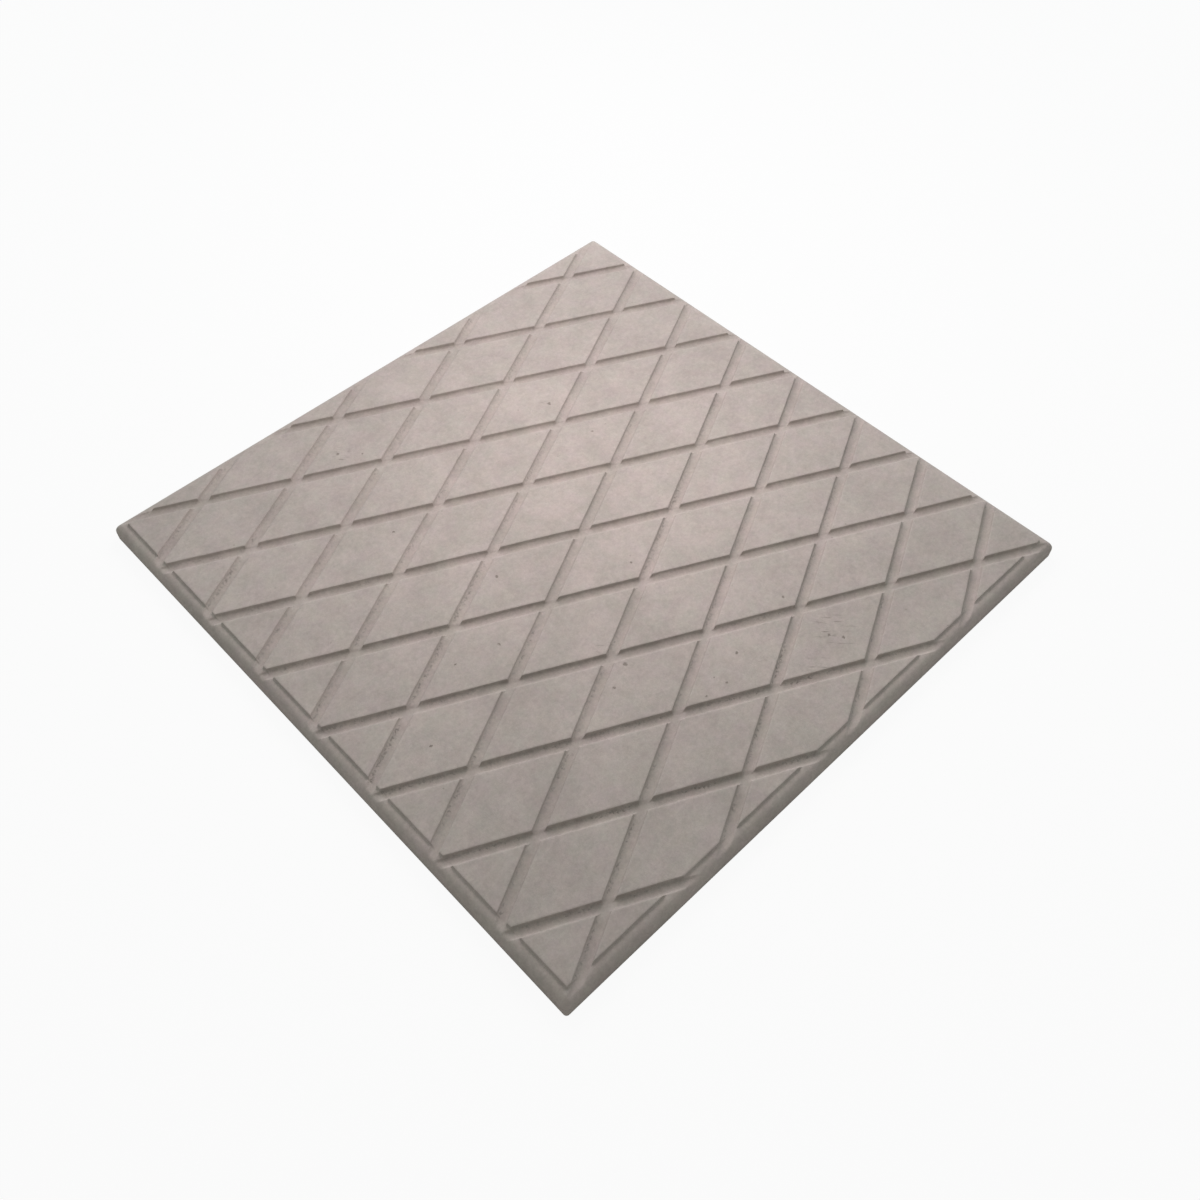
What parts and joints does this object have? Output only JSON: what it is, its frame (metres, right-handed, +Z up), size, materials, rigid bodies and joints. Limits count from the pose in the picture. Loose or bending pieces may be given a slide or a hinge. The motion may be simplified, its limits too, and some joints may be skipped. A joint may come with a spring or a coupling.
{
  "type": "promenade tile",
  "caption": "Square cast-concrete paving tile for flat roofs and terraces, with a raised diamond-pad tread and a plain rounded border.",
  "frame": {"origin": "centre of the flat underside", "axes": "+Z up, out of the tread; X along the long diagonals of the diamonds and Y along their short diagonals, both parallel to the tile's sides"},
  "size_m": [0.3, 0.3, 0.01],
  "materials": {
    "concrete": "matte, as cast from the mould"
  },
  "bodies": {
    "root": {"promenade_tile": "concrete"}
  },
  "joints": []
}
